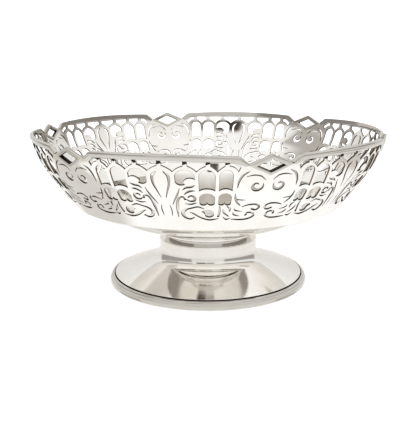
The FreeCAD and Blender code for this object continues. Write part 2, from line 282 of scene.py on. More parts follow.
# ---- the openings of half a panel ----
def rim_gap(left, right, column):
    """The gap under the rim wire, between two studs and the backs of two arches."""
    near = left + STUD_HALF
    far = right - STUD_HALF
    top = WIRE_DEPTH + 0.5
    return outline([
        (near, top), (far, top), (far, ARCH_SHOULDER),
        (((far + column) / 2 + 0.35, ARCH_FORK), (column, ARCH_FOOT)),
        (((near + column) / 2 - 0.35, ARCH_FORK), (near, ARCH_SHOULDER)),
    ])


def end_gap():
    """The last gap, between the outer stud and the sloping end of the rim wire."""
    near = STUDS[3] + STUD_HALF
    return outline([
        (near, 4.6), (20.1, 4.9), (21.8, 7.5), (21.1, 10.6),
        ((20.1, 7.9), (near, ARCH_SHOULDER)),
    ])


def upper_window(left, right):
    """A tall round-headed window of the arcade."""
    near = left + COLUMN_HALF
    far = right - COLUMN_HALF
    middle = (left + right) / 2
    return outline([
        (near, UPPER_SILL), (near, UPPER_SPRING),
        ((middle, UPPER_CROWN), (far, UPPER_SPRING)), (far, UPPER_SILL),
        ((middle, UPPER_SILL_CROWN), (near, UPPER_SILL)),
    ])


def lower_window(left, right):
    """A shorter round-headed window with two scallops for a sill."""
    near = left + COLUMN_HALF
    far = right - COLUMN_HALF
    middle = (left + right) / 2
    quarter = (right - left) / 4
    return outline([
        (near, LOWER_SILL), (near, LOWER_SPRING),
        ((middle, LOWER_CROWN), (far, LOWER_SPRING)), (far, LOWER_SILL),
        ((middle + quarter, SCALLOP_BOTTOM), (middle, LOWER_SILL_MIDDLE)),
        ((middle - quarter, SCALLOP_BOTTOM), (near, LOWER_SILL)),
    ])


def arcade():
    """Half of the gaps and windows, from the panel's middle outwards. The last outline is the
    window beside the palmette, which is cut short by its leaves."""
    shapes = [rim_gap(STUDS[i], STUDS[i + 1], COLUMNS[i]) for i in range(3)]
    shapes.append(end_gap())
    for left, right in ((COLUMNS[1], COLUMNS[2]), (COLUMNS[2], COLUMNS[3])):
        shapes.append(upper_window(left, right))
        shapes.append(lower_window(left, right))
    shapes.append(outline([
        (3.95, 17.4), (3.95, UPPER_SPRING), ((6.7, UPPER_CROWN), (9.45, UPPER_SPRING)), (9.45, 15.6),
        ((7.9, 14.6), (6.5, 16.2)), ((6.3, 17.4), (6.9, 18.4)), ((5.6, 19.6), (3.95, 17.4)),
    ]))
    return shapes


def palmette():
    """Half of the leaves that fan up from the foot of the panel's middle."""
    return [
        stroke(
            (1.05, 10.4, 0.7), (2.15, 12.8, 1.9), (2.3, 18.0, 1.5),
            (1.5, 24.0, 1.0), (0.75, 29.5, 0.4),
        ),
        stroke((5.0, 21.8, 0.4), (4.3, 26.0, 1.1), (3.2, 31.0, 1.0), (2.3, 35.4, 0.4)),
        stroke((1.3, 36.0, 0.4), (1.6, 40.0, 0.9), (1.4, 45.6, 0.4)),
        stroke(
            (6.3, 30.4, 1.5), (5.9, 28.4, 1.3), (4.9, 28.6, 1.4), (4.1, 31.4, 1.7),
            (3.7, 36.0, 2.0), (3.5, 41.0, 1.5), (3.4, 46.4, 0.5),
        ),
        stroke((9.3, 19.4, 0.6), (8.3, 20.4, 1.6), (7.0, 20.9, 1.5), (5.9, 22.6, 0.5)),
        stroke((9.3, 23.4, 0.5), (8.2, 23.4, 1.5), (7.0, 24.6, 1.5), (6.2, 26.6, 0.4)),
        volute(8.0, 29.4, -160, 150, (2.5, 2.6, 2.4, 1.6), (0.7, 1.9, 1.7, 1.0)),
        stroke((9.4, 33.4, 0.9), (8.0, 34.6, 1.3), (6.2, 34.2, 0.5)),
    ]


def scroll_band():
    """Half of the scrolls that run along the bottom of the piercing."""
    return [
        stroke(
            (11.8, 38.6, 0.6), (9.9, 36.9, 1.3), (8.0, 38.0, 1.3), (6.2, 39.4, 1.7),
            (5.0, 42.4, 2.3), (5.5, 46.0, 2.2), (7.0, 47.9, 1.7), (8.3, 46.6, 1.5),
        ),
        stroke(
            (16.4, 47.6, 0.6), (13.6, 48.6, 1.7), (11.0, 46.8, 1.7), (8.6, 43.2, 1.4),
            (7.4, 41.8, 0.6),
        ),
        outline([
            (14.9, 43.0), ((13.2, 39.4), (10.9, 41.6)), ((11.9, 43.4), (12.0, 45.0)),
            ((13.8, 46.6), (14.9, 43.0)),
        ]),
        stroke((16.5, 36.4, 0.9), (16.7, 39.6, 1.3), (16.3, 45.6, 1.5)),
        stroke((17.6, 39.4, 0.5), (18.1, 42.2, 1.5), (19.6, 45.6, 0.8)),
        stroke((18.8, 36.4, 0.7), (19.7, 38.4, 1.5), (19.8, 41.2, 0.6)),
        stroke((17.9, 46.2, 0.5), (19.0, 48.4, 1.4), (20.2, 47.4, 0.6)),
    ]


def cartouche():
    """The openings beside half of the plain shield under a lozenge, from its stem outwards."""
    return [
        stroke((6.6, 13.6, 0.4), (4.6, 12.7, 0.9), (2.7, 13.3, 1.0), (1.1, 16.2, 0.4)),
        stroke((5.9, 10.2, 0.5), (7.6, 12.6, 1.5), (8.55, 16.8, 1.4), (8.8, 21.4, 0.4)),
        volute(
            3.15, 20.2, 120, -205, (1.2, 2.2, 3.0, 3.2, 3.3, 3.6), (0.6, 1.1, 2.0, 2.6, 1.8, 0.4),
        ),
        stroke((9.2, 25.8, 0.4), (9.0, 29.4, 1.4), (8.2, 33.6, 1.3), (7.2, 36.0, 0.7)),
        stroke((6.0, 31.4, 0.5), (7.2, 31.2, 0.9), (8.6, 30.6, 0.9)),
        stroke(
            (6.5, 37.2, 0.7), (4.3, 35.6, 1.4), (2.0, 35.8, 1.5), (0.95, 38.2, 1.5),
            (1.9, 40.6, 1.5), (3.2, 39.6, 1.7),
        ),
        stroke(
            (9.3, 48.4, 0.8), (6.6, 49.0, 1.6), (3.8, 48.4, 1.7), (2.1, 46.0, 1.6),
            (2.7, 43.2, 1.5), (4.5, 43.0, 1.4), (4.8, 45.0, 1.5),
        ),
        stroke((8.9, 38.4, 0.5), (8.5, 40.2, 1.2), (6.4, 41.6, 0.5)),
        stroke((9.2, 42.0, 0.5), (8.7, 44.2, 1.3), (6.8, 45.8, 0.5)),
    ]


def mirrored(shape):
    """The same outline on the other side of the panel's middle."""
    return np.column_stack([-shape[:, 0], shape[:, 1]])[::-1]


def from_edge(shape):
    """An outline measured from the panel's edge, moved to the panel's own measure."""
    return np.column_stack([HALF_PANEL - shape[:, 0], shape[:, 1]])[::-1]


def rim_drop(across):
    """How far the rim's ends lie below its middle."""
    return RIM_DROP * (np.asarray(across, float) / WIRE_SPAN) ** 2


def panel_frame():
    """The panel's own outline: the rim wire and the lozenges stand on its upper edge."""
    tuck = 0.5
    half = [
        (0, WIRE_DEPTH - tuck),
        (WIRE_SPAN, WIRE_DEPTH - tuck),
        (22.7, 6.9 - tuck),
        (HALF_PANEL - LOZENGE_HALF, LOZENGE_MIDDLE),
        (HALF_PANEL, LOZENGE_BOTTOM - tuck),
        (HALF_PANEL, PIERCED_DEPTH),
    ]
    return np.array(half + [(-a, d) for a, d in half[:0:-1]], float)


# ---- triangulating a pierced sheet ----
# Millimetres to a degree across, as the flat measure takes it for the whole panel.
FLAT_SCALE = math.radians(1) * FLAT_RADIUS


def split_long(loop, longest):
    """The loop with points added so that no side is longer than given, in flat measure."""
    points = []
    for a, b in zip(loop, np.roll(loop, -1, 0)):
        parts = max(1, int(math.ceil(np.linalg.norm((b - a) * (FLAT_SCALE, 1)) / longest)))
        points += [a + (b - a) * i / parts for i in range(parts)]
    return np.array(points)


def inside(points, loop):
    """Which points lie inside a closed loop."""
    x, y = points[:, 0, None], points[:, 1, None]
    ax, ay = loop[:, 0], loop[:, 1]
    bx, by = np.roll(ax, -1), np.roll(ay, -1)
    crosses = (ay > y) != (by > y)
    with np.errstate(divide="ignore", invalid="ignore"):
        at = ax + (y - ay) * (bx - ax) / (by - ay)
    return (crosses & (x < at)).sum(1) % 2 == 1


def nearest_side(points, loop):
    """The distance from each point to a closed loop."""
    a = loop
    b = np.roll(loop, -1, 0)
    best = np.full(len(points), np.inf)
    for start, end in zip(a, b):
        side = end - start
        share = np.clip((points - start) @ side / max(side @ side, 1e-12), 0, 1)
        best = np.minimum(best, np.linalg.norm(points - start - share[:, None] * side, axis=1))
    return best


def pierced_sheet():
    """The flat pattern's points and triangles, cut out of a grid by every opening."""
    half = arcade() + palmette() + scroll_band() + [from_edge(shape) for shape in cartouche()]
    holes = half + [mirrored(shape) for shape in half]
    scale = np.array([FLAT_SCALE, 1.0])
    frame_loop = split_long(panel_frame(), FRAME_STEP) * scale
    holes = [split_long(shape, HOLE_STEP) * scale for shape in holes]
    rows = []
    for row, v in enumerate(np.arange(4.0, PIERCED_DEPTH, ROW_SPACING)):
        u = np.arange(-HALF_PANEL * FLAT_SCALE, HALF_PANEL * FLAT_SCALE, MESH_SPACING)
        rows.append(np.column_stack([u + (row % 2) * MESH_SPACING / 2, np.full(len(u), v)]))
    grid = np.vstack(rows)
    keep = inside(grid, frame_loop) & (nearest_side(grid, frame_loop) > FRAME_CLEARANCE)
    grid = grid[keep]
    for hole in holes:
        near = (
            (grid[:, 0] > hole[:, 0].min() - 1) & (grid[:, 0] < hole[:, 0].max() + 1)
            & (grid[:, 1] > hole[:, 1].min() - 1) & (grid[:, 1] < hole[:, 1].max() + 1)
        )
        bad = np.zeros(len(grid), bool)
        local = grid[near]
        if len(local):
            bad[near] = inside(local, hole) | (nearest_side(local, hole) < HOLE_CLEARANCE)
        grid = grid[~bad]
    points, sides = [], []
    for loop in [frame_loop] + holes:
        first = len(points)
        points += [tuple(p) for p in loop]
        sides += [(first + i, first + (i + 1) % len(loop)) for i in range(len(loop))]
    points += [tuple(p) for p in grid]
    made = delaunay_2d_cdt([Vector(p) for p in points], sides, [], 0, 1e-5, False)
    flat = np.array([tuple(v) for v in made[0]])
    triangles = np.array([tuple(f) for f in made[2]])
    a, b, c = (flat[triangles[:, i]] for i in range(3))
    twice = (b[:, 0] - a[:, 0]) * (c[:, 1] - a[:, 1]) - (b[:, 1] - a[:, 1]) * (c[:, 0] - a[:, 0])
    triangles[twice < 0] = triangles[twice < 0][:, ::-1]
    centres = flat[triangles].mean(1)
    keep = inside(centres, frame_loop) & (np.abs(twice) > 1e-7)
    for hole in holes:
        near = (
            (centres[:, 0] > hole[:, 0].min()) & (centres[:, 0] < hole[:, 0].max())
            & (centres[:, 1] > hole[:, 1].min()) & (centres[:, 1] < hole[:, 1].max())
        )
        hit = np.zeros(len(centres), bool)
        hit[near] = inside(centres[near], hole)
        keep &= ~hit
    triangles = biggest_part(triangles[keep], len(flat))
    used = np.unique(triangles)
    renumber = np.full(len(flat), -1)
    renumber[used] = np.arange(len(used))
    return flat[used] / scale, renumber[triangles]


def biggest_part(triangles, count):
    """Only the triangles that hang together with most of the others."""
    group = np.arange(count)
    while True:
        lowest = group[triangles].min(1)
        after = group.copy()
        for i in range(3):
            np.minimum.at(after, triangles[:, i], lowest)
        after = after[after]
        if (after == group).all():
            break
        group = after
    labels = group[triangles[:, 0]]
    names, sizes = np.unique(labels, return_counts=True)
    return triangles[labels == names[sizes.argmax()]]


def border_edges(triangles):
    """The triangles' sides that no other triangle shares, each in its triangle's order."""
    sides = np.vstack([triangles[:, [0, 1]], triangles[:, [1, 2]], triangles[:, [2, 0]]])
    known = {tuple(side) for side in sides}
    return np.array([side for side in sides if (side[1], side[0]) not in known])


def border_directions(flat, edges):
    """For each border point, the way out of the metal in flat measure, mitred at corners."""
    measured = flat * (FLAT_SCALE, 1.0)
    along = measured[edges[:, 1]] - measured[edges[:, 0]]
    along /= np.maximum(np.linalg.norm(along, axis=1), 1e-9)[:, None]
    outward = np.stack([along[:, 1], -along[:, 0]], 1)
    total = np.zeros((len(flat), 2))
    np.add.at(total, edges[:, 0], outward)
    np.add.at(total, edges[:, 1], outward)
    length = np.linalg.norm(total, axis=1)
    unit = total / np.maximum(length, 1e-9)[:, None]
    mitre = np.clip(2 / np.maximum(length, 1e-9), 1.0, 1.6)
    return unit, mitre


# ---- meshes ----
def new_object(name, vertices, faces, normals=None, smooth_angle=None):
    """An object from points in millimetres, shaded smooth, with its own normals or with
    sharp edges beyond an angle in degrees."""
    mesh = bpy.data.meshes.new(name)
    mesh.from_pydata((np.asarray(vertices) * MM).tolist(), [], [list(f) for f in faces])
    mesh.polygons.foreach_set("use_smooth", [True] * len(mesh.polygons))
    mesh.update()
    if normals is not None:
        mesh.normals_split_custom_set_from_vertices(np.asarray(normals).tolist())
    if smooth_angle is not None:
        mesh.set_sharp_from_angle(angle=math.radians(smooth_angle))
    piece = bpy.data.objects.new(name, mesh)
    bpy.context.scene.collection.objects.link(piece)
    return piece


def pierced_panel(number, sheet):
    """One pierced panel, with rounded edges at every opening. Its materials are those of the
    sheet, of the sawn edges, darkened partly by tarnish and partly by painted shade, and of
    the black painted shadow at the stud heads."""
    flat, triangles, edges, direction, mitre = sheet
    turn = FIRST_PANEL + number * PANEL_ANGLE
    count = len(flat)
    seam = (np.abs(np.abs(flat[:, 0]) - HALF_PANEL) < 1e-4) | (flat[:, 1] > PIERCED_DEPTH - 1e-4)
    reach = np.where(seam, 0.0, EDGE_ROUND) * mitre
    pushed = flat + direction * reach[:, None] / (FLAT_SCALE, 1.0)
    outer, face_normal = on_wall(flat[:, 0], flat[:, 1], 0.0, turn)
    inner, _ = on_wall(flat[:, 0], flat[:, 1], -SHEET, turn)
    angle = np.radians(flat[:, 0] + turn)
    east = np.stack([-np.sin(angle), np.cos(angle), np.zeros(count)], 1)
    south = np.cross(east, face_normal)
    side_normal = east * direction[:, :1] - south * direction[:, 1:]
    border = np.unique(edges)
    ring = np.full(count, -1)
    ring[border] = np.arange(len(border))
    upper, _ = on_wall(pushed[border, 0], pushed[border, 1], -EDGE_ROUND, turn)
    lower, _ = on_wall(pushed[border, 0], pushed[border, 1], EDGE_ROUND - SHEET, turn)
    layers = np.vstack([outer, inner, upper, lower])
    normals = np.vstack([face_normal, -face_normal, side_normal[border], side_normal[border]])
    first_upper = 2 * count
    first_lower = first_upper + len(border)
    faces = [list(t[::-1]) for t in triangles] + [list(t + count) for t in triangles]
    for a, b in edges:
        ua, ub = first_upper + ring[a], first_upper + ring[b]
        la, lb = first_lower + ring[a], first_lower + ring[b]
        faces += [[a, b, ub, ua], [ua, ub, lb, la], [la, lb, b + count, a + count]]
    piece = new_object("pierced_wall_%d" % (number + 1), layers, faces, normals)
    slots = np.zeros(len(faces), int)
    # The sawn edges take the second material, dark partly from tarnish and partly as a painted shade.
    slots[2 * len(triangles):] = 1
    # The stud heads take the black painted shadow.
    slots[:len(triangles)][under_wire_shadow(flat[triangles].mean(1))] = 2
    piece.data.polygons.foreach_set("material_index", slots)
    return piece


def under_wire_shadow(places):
    """Which places lie at the head of a stud, where a black painted shadow stands for the shade under
    the wire.
    """
    beside = np.abs(np.abs(places[:, :1]) - np.array(STUDS)).min(1)
    return (beside < STUD_HALF) & (places[:, 1] < STUD_SHADOW_END)


def turned(name, profile, zone=None):
    """A closed profile of radius and height turned about Z; points on the axis are shared.
    Faces whose middle is in the zone, given as its least and greatest radius and its least
    and greatest height, take the second material."""
    profile = np.array(profile, float)
    vertices, rings = [], []
    for r, z in profile:
        if r < 1e-6:
            rings.append([len(vertices)] * TURN_STEPS)
            vertices.append((0.0, 0.0, z))
        else:
            first = len(vertices)
            angles = np.arange(TURN_STEPS) * 2 * math.pi / TURN_STEPS
            vertices += [(r * math.cos(t), r * math.sin(t), z) for t in angles]
            rings.append([first + i for i in range(TURN_STEPS)])
    faces, slots = [], []
    for k, (ring, after) in enumerate(zip(rings, rings[1:] + rings[:1])):
        r, z = (profile[k] + profile[(k + 1) % len(profile)]) / 2
        second = zone is not None and zone[0] < r < zone[1] and zone[2] < z < zone[3]
        for i in range(TURN_STEPS):
            j = (i + 1) % TURN_STEPS
            corners = []
            for corner in (ring[i], ring[j], after[j], after[i]):
                if corner not in corners:
                    corners.append(corner)
            if len(corners) > 2:
                faces.append(corners)
                slots.append(int(second))
    piece = new_object(name, vertices, faces, smooth_angle=TURN_SHARP)
    piece.data.polygons.foreach_set("material_index", slots)
    return piece


def fillet(points, count=8):
    """A profile whose corners are rounded: each point is radius, height and corner radius."""
    made = []
    for before, here, after in zip(points[-1:] + points[:-1], points, points[1:] + points[:1]):
        corner = np.array(here[:2], float)
        back = np.array(before[:2], float) - corner
        ahead = np.array(after[:2], float) - corner
        back_length, ahead_length = np.linalg.norm(back), np.linalg.norm(ahead)
        if here[2] <= 0 or back_length < 1e-6 or ahead_length < 1e-6:
            made.append(tuple(corner))
            continue
        back /= back_length
        ahead /= ahead_length
        opening = math.acos(float(np.clip(back @ ahead, -1, 1)))
        if opening > math.pi - 0.02:
            made.append(tuple(corner))
            continue
        reach = min(here[2] / math.tan(opening / 2), 0.49 * back_length, 0.49 * ahead_length)
        radius = reach * math.tan(opening / 2)
        bisector = (back + ahead) / np.linalg.norm(back + ahead)
        centre = corner + bisector * radius / math.sin(opening / 2)
        start = corner + back * reach - centre
        end = corner + ahead * reach - centre
        first = math.atan2(start[1], start[0])
        sweep = (math.atan2(end[1], end[0]) - first + math.pi) % (2 * math.pi) - math.pi
        for i in range(count + 1):
            angle = first + sweep * i / count
            along, up = radius * math.cos(angle), radius * math.sin(angle)
            made.append((centre[0] + along, centre[1] + up))
    return made


def banded(name, stations, section, turn, closed, shaded_sides=()):
    """A moulded band on the wall. A station is the places of the band's two edges; the
    section gives, round the band, the share from one edge to the other and the height out.
    The sides of the section numbered as shaded take the second material, a painted shade."""
    vertices = []
    for one, other in stations:
        one, other = np.array(one, float), np.array(other, float)
        shares = np.array([s[0] for s in section])
        places = one + (other - one) * shares[:, None]
        outs = np.array([s[1] for s in section])
        points, _ = on_wall(places[:, 0], places[:, 1], outs, turn)
        vertices += points.tolist()
    size = len(section)
    faces, slots = [], []
    last = len(stations) if closed else len(stations) - 1
    for i in range(last):
        j = (i + 1) % len(stations)
        for k in range(size):
            m = (k + 1) % size
            faces.append([i * size + k, i * size + m, j * size + m, j * size + k])
            slots.append(int(k in shaded_sides))
    if not closed:
        faces.append(list(range(size))[::-1])
        faces.append([(len(stations) - 1) * size + k for k in range(size)])
        slots += [0, 0]
    piece = new_object(name, vertices, faces, smooth_angle=BAND_SHARP)
    piece.data.polygons.foreach_set("material_index", slots)
    return piece


# The rim wire's half round, from its upper edge over the front to the lower edge and back.
RIM_SECTION = (
    (0.0, -1.9), (0.0, -0.6), (0.03, -0.1), (0.10, 0.3), (0.20, 0.52), (0.34, 0.66),
    (0.50, 0.69), (0.66, 0.63), (0.80, 0.48), (0.90, 0.28), (0.97, 0.02), (1.0, -0.2),
    (1.0, -1.7), (0.93, -2.15), (0.5, -2.3), (0.07, -2.2),
)
# The diamond's flat bar, from its outer edge over the front to the eye and back, and which
# of its sides face the eye.
LOZENGE_SECTION = (
    (0.0, -1.7), (0.0, 0.2), (0.07, 0.62), (0.25, 0.85), (0.75, 0.85), (0.93, 0.62),
    (1.0, 0.3), (1.0, -2.0), (0.95, -2.05), (0.1, -2.05),
)
# The sides that face the eye take the black painted shade.
LOZENGE_EYE_SIDES = (5, 6, 7)


def rim_wire(number):
    """The moulded wire along one panel's edge, sloping down to a lozenge at each end."""
    half = [((a, float(rim_drop(a))), (a, WIRE_DEPTH + float(rim_drop(a))))
            for a in np.linspace(0, WIRE_SPAN - 0.8, 28)]
    corner = WIRE_SPAN + 0.2
    half += [
        ((corner + 0.1, RIM_DROP + 0.05), (corner - 0.65, WIRE_DEPTH + RIM_DROP + 0.1)),
        ((corner + 0.75, RIM_DROP + 0.5), (corner - 0.35, WIRE_DEPTH + RIM_DROP + 0.45)),
        ((22.6, 3.4), (21.6, 6.3)),
        ((HALF_PANEL - LOZENGE_HALF + 0.25, 5.3), (HALF_PANEL - LOZENGE_HALF - 0.5, 7.4)),
    ]
    stations = [((-a[0], a[1]), (-b[0], b[1])) for a, b in half[:0:-1]] + half
    turn = FIRST_PANEL + number * PANEL_ANGLE
    return banded("rim_moulding_%d" % (number + 1), stations, RIM_SECTION, turn, False)


def lozenge(number):
    """The open diamond between two rim wires."""
    outer = [(-LOZENGE_HALF, LOZENGE_MIDDLE), (0, LOZENGE_TOP),
             (LOZENGE_HALF, LOZENGE_MIDDLE), (0, LOZENGE_BOTTOM)]
    inner = [(-LOZENGE_EYE_HALF, LOZENGE_EYE_MIDDLE), (0, LOZENGE_EYE_TOP),
             (LOZENGE_EYE_HALF, LOZENGE_EYE_MIDDLE), (0, LOZENGE_EYE_BOTTOM)]
    stations = []
    for k in range(4):
        for share in np.linspace(0, 1, 8)[:-1]:
            place = [np.array(c[k]) + (np.array(c[(k + 1) % 4]) - np.array(c[k])) * share
                     for c in (outer, inner)]
            stations.append((tuple(place[0]), tuple(place[1])))
    turn = FIRST_PANEL + HALF_PANEL + number * PANEL_ANGLE
    name = "open_lozenge_%d" % (number + 1)
    return banded(name, stations, LOZENGE_SECTION, turn, True, LOZENGE_EYE_SIDES)


def three_point_arc(a, b, c, count):
    """Points on the circle through three points, from a to c, with a."""
    return [a] + arc_points(a, b, c, count)


def dish():
    """The plain band, the knuckle and the sloping floor."""
    top = wall(PIERCED_DEPTH)
    inner_top = wall(PIERCED_DEPTH, -SHEET)
    knuckle = (KNUCKLE_RADIUS, KNUCKLE_HEIGHT)
    inner_knuckle = (KNUCKLE_RADIUS - 1.2, KNUCKLE_HEIGHT + 1.1)
    under = three_point_arc(
        (DISH_BOTTOM_RADIUS, DISH_BOTTOM), (DISH_SAG_RADIUS, DISH_SAG), knuckle, 24
    )
    floor = three_point_arc(
        inner_knuckle, (DISH_SAG_RADIUS - 0.4, DISH_SAG + SHEET),
        (DISH_BOTTOM_RADIUS - 0.4, DISH_BOTTOM + SHEET), 24,
    )
    corners = [(0, DISH_BOTTOM, 0), (DISH_BOTTOM_RADIUS * 0.5, DISH_BOTTOM, 0)]
    corners += [(r, z, 0) for r, z in under[:-1]]
    corners.append((*knuckle, 1.6))
    corners += [(float(top[0]), float(top[1]), 0), (float(inner_top[0]), float(inner_top[1]), 0)]
    corners.append((*inner_knuckle, 1.6))
    corners += [(r, z, 0) for r, z in floor[1:]]
    corners += [(DISH_BOTTOM_RADIUS * 0.5, DISH_BOTTOM + SHEET, 0), (0, DISH_BOTTOM + SHEET, 0)]
    return turned("dish", fillet(corners))


def collar():
    """The turned ring under the dish and the recessed neck, whose waist takes the darker wire
    silver as a painted shade.
    """
    ring, waist, top = COLLAR_RING_RADIUS, COLLAR_WAIST_RADIUS, DISH_BOTTOM
    under = top - COLLAR_RING_DEPTH
    return turned("neck", fillet([
        (COLLAR_BORE_RADIUS, top, 0), (ring, top, 1.1), (ring, under, 1.1),
        (waist + 1.2, under, 0.3), (waist, under - 1.0, 0.8), (waist, COLLAR_BOTTOM, 0),
        (COLLAR_BORE_RADIUS, COLLAR_BOTTOM, 0),
    ]), zone=(waist - 0.1, waist + 2.0, COLLAR_BOTTOM, under - 0.1))


def foot():
    """The hollow concave foot, with a black painted shade inside the groove at its edge."""
    top, upright = COLLAR_BOTTOM, FOOT_TOP_RADIUS
    corner = FOOT_GROOVE + (FOOT_GROOVE_RADIUS - upright) * math.tan(FOOT_SLOPE)
    inner = upright - SHEET
    bend = FLARE_REACH * math.tan((math.pi / 2 + FOOT_SLOPE) / 2)
    inner_groove = (FOOT_GROOVE_RADIUS - SHEET, FOOT_GROOVE - SHEET)
    inner_corner = inner_groove[1] + (inner_groove[0] - inner) * math.tan(FOOT_SLOPE)
    return turned("foot", fillet([
        (COLLAR_BORE_RADIUS, top, 0), (upright, top, 0.9), (upright, corner, bend),
        (FOOT_GROOVE_RADIUS, FOOT_GROOVE, 0.15), (*inner_groove, 0.1),
        (inner, inner_corner, bend), (inner, top - 1.6, 0.4), (COLLAR_BORE_RADIUS, top - 1.6, 0),
    ], 14), zone=(FOOT_GROOVE_RADIUS - SHEET, FOOT_GROOVE_RADIUS, 5.0, FOOT_GROOVE - 0.12))


def foot_wire():
    """The moulding that the foot stands on, with a black painted shade where it meets the groove."""
    edge = FOOT_EDGE_RADIUS
    return turned("foot_moulding", fillet([
        (FOOT_BORE_RADIUS, 0, 0.3), (edge, 0, 0.35), (edge, MOULDING_STEP, 0.4),
        (edge - 0.6, 3.5, 0.15), (edge - 0.7, 5.3, 1.6), (edge - 2.4, SHOULDER, 0.6),
        (FOOT_GROOVE_RADIUS + 0.7, SHOULDER, 0.2),
        (FOOT_GROOVE_RADIUS - 0.8, FOOT_GROOVE - 1.0, 0), (FOOT_BORE_RADIUS, 5.2, 0),
    ]), zone=(FOOT_BORE_RADIUS, FOOT_GROOVE_RADIUS + 0.75, 5.25, SHOULDER))


# ---- materials ----
# The sockets of a Mix node that carry colours.
MIX_FIRST = 6
MIX_SECOND = 7
MIX_RESULT = 2

# The silver's surface: how far the bloom dims its colour, how fine the bloom, the wipes and
# the waves are, and the wipes' height in metres.
BLOOM_SHADE = (0.93, 0.915, 0.88)
BLOOM_SCALE = 42.0
WIPE_SCALE = 900.0
WAVE_SCALE = 26.0
WIPE_HEIGHT = 0.00002


def node(tree, kind, **values):
    """A new node, with settings or input values given by name."""
    made = tree.nodes.new(kind)
    for key, value in values.items():
        if hasattr(made, key):
            setattr(made, key, value)
        else:
            made.inputs[key.replace("_", " ")].default_value = value
    return made


def silver(name, colour, smooth, rough, wave_height):
    """Polished silver with a hand-finished surface: slow waves, fine wipes and a dull bloom,
    which takes the roughness from smooth to rough. The waves' height is in metres."""
    material = bpy.data.materials.new(name)
    material.use_nodes = True
    tree = material.node_tree
    shader = tree.nodes["Principled BSDF"]
    shader.inputs["Metallic"].default_value = 1.0
    place = node(tree, "ShaderNodeTexCoord")
    bloom = node(tree, "ShaderNodeTexNoise", Scale=BLOOM_SCALE, Detail=4.0, Roughness=0.6)
    wipes = node(tree, "ShaderNodeTexNoise", Scale=WIPE_SCALE, Detail=3.0, Roughness=0.7)
    waves = node(tree, "ShaderNodeTexNoise", Scale=WAVE_SCALE, Detail=1.0, Roughness=0.4)
    for texture in (bloom, wipes, waves):
        tree.links.new(place.outputs["Object"], texture.inputs["Vector"])
    colours = node(tree, "ShaderNodeValToRGB")
    colours.color_ramp.elements[0].position = 0.3
    shaded = [part * shade for part, shade in zip(colour, BLOOM_SHADE)]
    colours.color_ramp.elements[0].color = (*shaded, 1)
    colours.color_ramp.elements[1].position = 0.62
    colours.color_ramp.elements[1].color = (*colour, 1)
    tree.links.new(bloom.outputs["Fac"], colours.inputs["Fac"])
    tree.links.new(colours.outputs["Color"], shader.inputs["Base Color"])
    mix = node(tree, "ShaderNodeMath", operation="MULTIPLY")
    tree.links.new(bloom.outputs["Fac"], mix.inputs[0])
    tree.links.new(wipes.outputs["Fac"], mix.inputs[1])
    spread = node(tree, "ShaderNodeMapRange")
    spread.inputs["From Min"].default_value = 0.15
    spread.inputs["From Max"].default_value = 0.4
    spread.inputs["To Min"].default_value = smooth
    spread.inputs["To Max"].default_value = rough
    tree.links.new(mix.outputs["Value"], spread.inputs["Value"])
    tree.links.new(spread.outputs["Result"], shader.inputs["Roughness"])
    wave_bump = node(tree, "ShaderNodeBump", Strength=1.0, Distance=wave_height)
    fine_bump = node(tree, "ShaderNodeBump", Strength=0.35, Distance=WIPE_HEIGHT)
    tree.links.new(waves.outputs["Fac"], wave_bump.inputs["Height"])
    tree.links.new(wipes.outputs["Fac"], fine_bump.inputs["Height"])
    tree.links.new(wave_bump.outputs["Normal"], fine_bump.inputs["Normal"])
    tree.links.new(fine_bump.outputs["Normal"], shader.inputs["Normal"])
    return material


def floor_material():
    """The pale, matt paper that the bowl stands on."""
    material = bpy.data.materials.new("studio_sweep")
    material.use_nodes = True
    shader = material.node_tree.nodes["Principled BSDF"]
    shader.inputs["Base Color"].default_value = (0.95, 0.95, 0.95, 1)
    shader.inputs["Roughness"].default_value = 0.9
    shader.inputs["Specular IOR Level"].default_value = 0.0
    return material


# ---- studio ----
CAMERA_PLACE = (0, -0.52983, 0.17656)
CAMERA_TILT = 13.314
CAMERA_LENS = 62.0
CAMERA_SENSOR = 36.0
FLOOR_REACH = 6.0
# Each softbox: its name, place, width and height in metres, and power in watts.
SOFTBOXES = (
    ("front_softbox", (0, -0.9, 0.35), (1.2, 0.5), 3.0),
    ("left_softbox", (-0.9, 0.1, 0.3), (0.8, 0.5), 1.6),
    ("right_softbox", (0.9, 0.1, 0.3), (0.8, 0.5), 1.6),
)

# The bowl stands in a tent. Rays that light it and rays from the camera see the tent as
# plain white, TENT_LIGHT strong. Reflected rays see it graded, with cards in it. These were
# tuned until the silver's reflections resembled the photograph's. A height in the
# tent is the Z of the direction to it, from -1 straight below to 1 straight above.
TENT_LIGHT = 1.7
# The tent's colours for reflected rays: a height, and the colour there.
TENT_COLOURS = (
    (-1.00, (1.13, 1.13, 1.13)),
    (-0.60, (1.09, 1.09, 1.085)),
    (-0.35, (0.98, 0.965, 0.94)),
    (-0.10, (0.84, 0.82, 0.79)),
    (0.10, (0.78, 0.77, 0.75)),
    (0.35, (0.84, 0.835, 0.82)),
    (0.60, (0.97, 0.965, 0.95)),
    (1.00, (1.08, 1.08, 1.08)),
)
